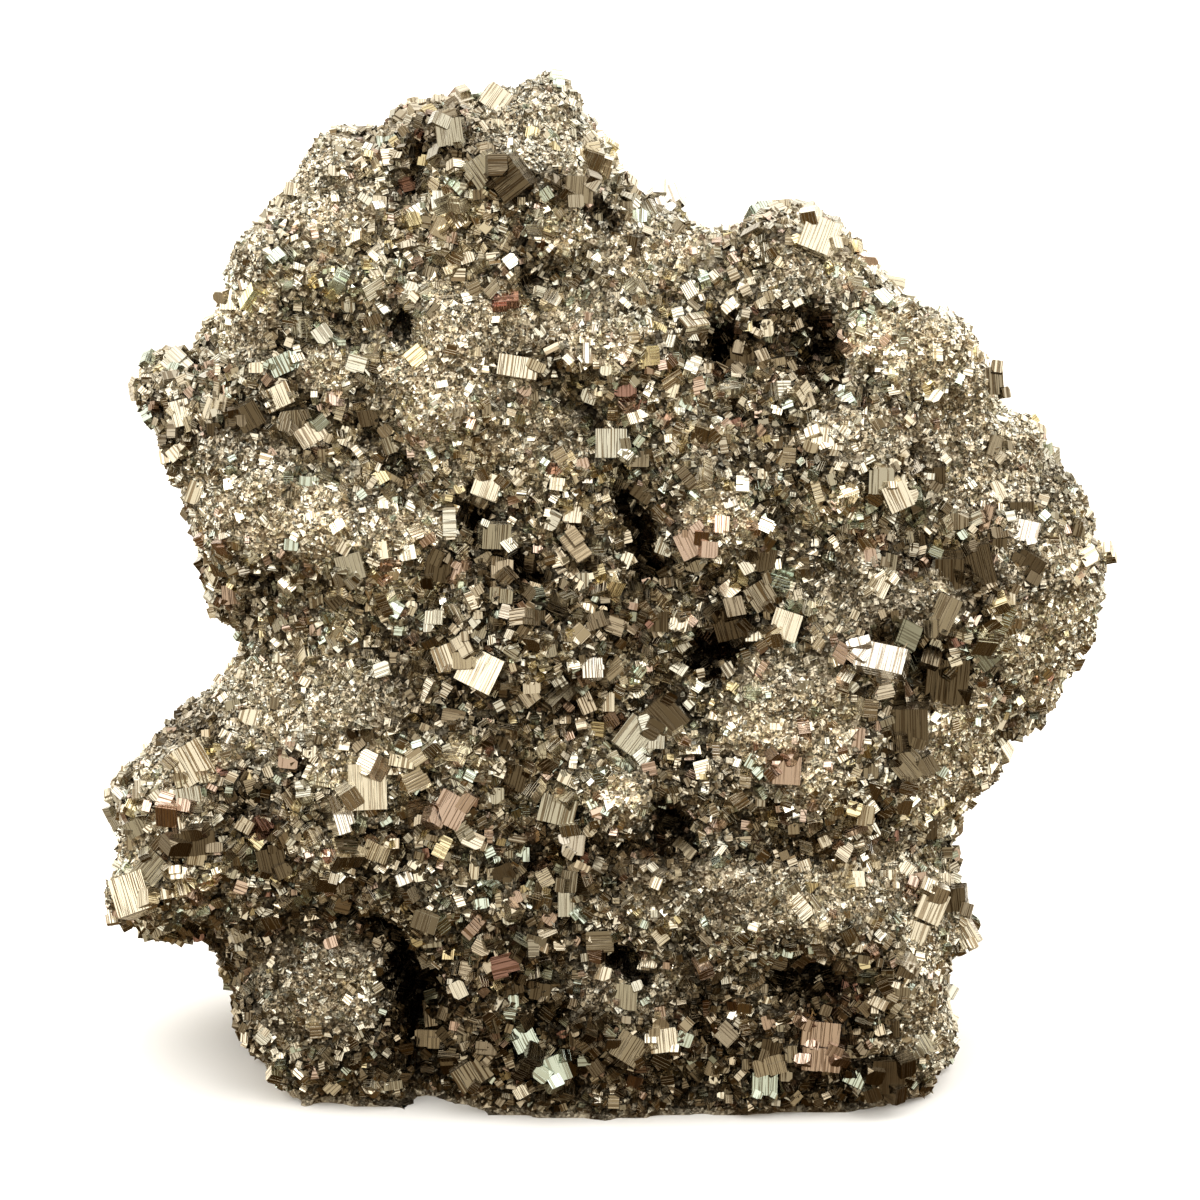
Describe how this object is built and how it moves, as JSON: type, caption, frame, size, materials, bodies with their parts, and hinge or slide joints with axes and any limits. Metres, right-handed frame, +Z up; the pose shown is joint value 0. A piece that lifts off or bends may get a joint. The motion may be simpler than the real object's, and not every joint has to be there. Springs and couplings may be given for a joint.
{
  "type": "pyrite specimen",
  "caption": "Free-standing cluster of intergrown striated pyrite cubes, sawn flat underneath so that it stands upright on a shelf or desk.",
  "frame": {"origin": "on the sawn flat underside, below the middle of the cluster", "axes": "+Z up out of the sawn underside, -Y is the crystal face seen from the front, +X to the right seen from the front"},
  "size_m": [0.1828, 0.0998, 0.1826],
  "materials": {
    "pyrite": "natural pyrite: pale brass-coloured metallic crystal faces, striated, with a darker drusy ground, a few rosy and bluish tarnished faces, and a dull sawn underside"
  },
  "bodies": {
    "root": {"pyrite_cluster": "pyrite"}
  },
  "joints": []
}
